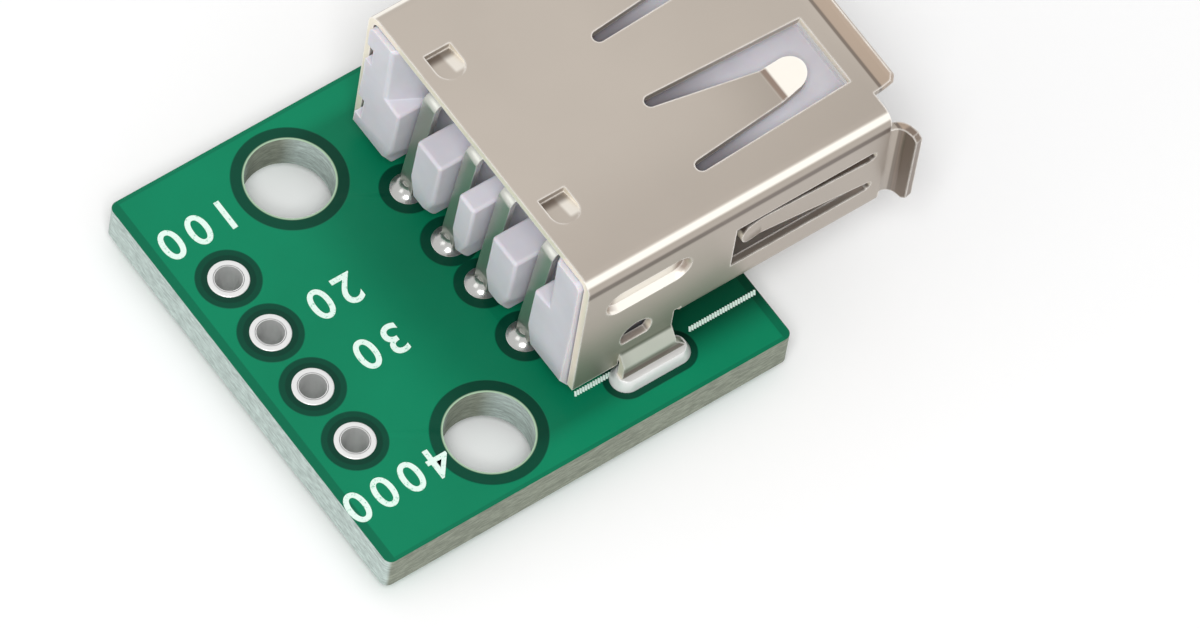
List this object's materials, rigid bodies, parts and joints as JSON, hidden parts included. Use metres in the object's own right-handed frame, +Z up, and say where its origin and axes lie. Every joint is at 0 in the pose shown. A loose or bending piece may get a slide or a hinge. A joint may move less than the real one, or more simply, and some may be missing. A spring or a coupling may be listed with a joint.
{
  "type": "usb breakout board",
  "caption": "Small circuit board with a metal-shelled plug socket overhanging one edge, screw holes beside it and a row of plated holes for wires or header pins.",
  "frame": {"origin": "midpoint between the two screw holes, on the underside of the board", "axes": "+X out of the socket's mouth, +Y across the board along the line of the screw holes, +Z up from the side that carries the socket"},
  "size_m": [0.0228, 0.0168, 0.0103],
  "materials": {
    "solder_mask": "satin",
    "hole_plating": "satin",
    "plated_shell": "satin",
    "moulded_insulator": "satin",
    "contact_metal": "satin",
    "solder": "polished"
  },
  "bodies": {
    "root": {"circuit_board": "solder_mask", "header_hole_1": "hole_plating", "header_hole_2": "hole_plating", "header_hole_3": "hole_plating", "header_hole_4": "hole_plating", "ground_hole": "hole_plating", "data_plus_hole": "hole_plating", "data_minus_hole": "hole_plating", "power_hole": "hole_plating", "far_lug_slot": "hole_plating", "near_lug_slot": "hole_plating", "socket_shell": "plated_shell", "socket_insulator": "moulded_insulator", "ground_contact": "contact_metal", "data_plus_contact": "contact_metal", "data_minus_contact": "contact_metal", "power_contact": "contact_metal", "ground_solder": "solder", "data_plus_solder": "solder", "data_minus_solder": "solder", "power_solder": "solder", "far_lug_solder": "solder", "near_lug_solder": "solder"}
  },
  "joints": []
}
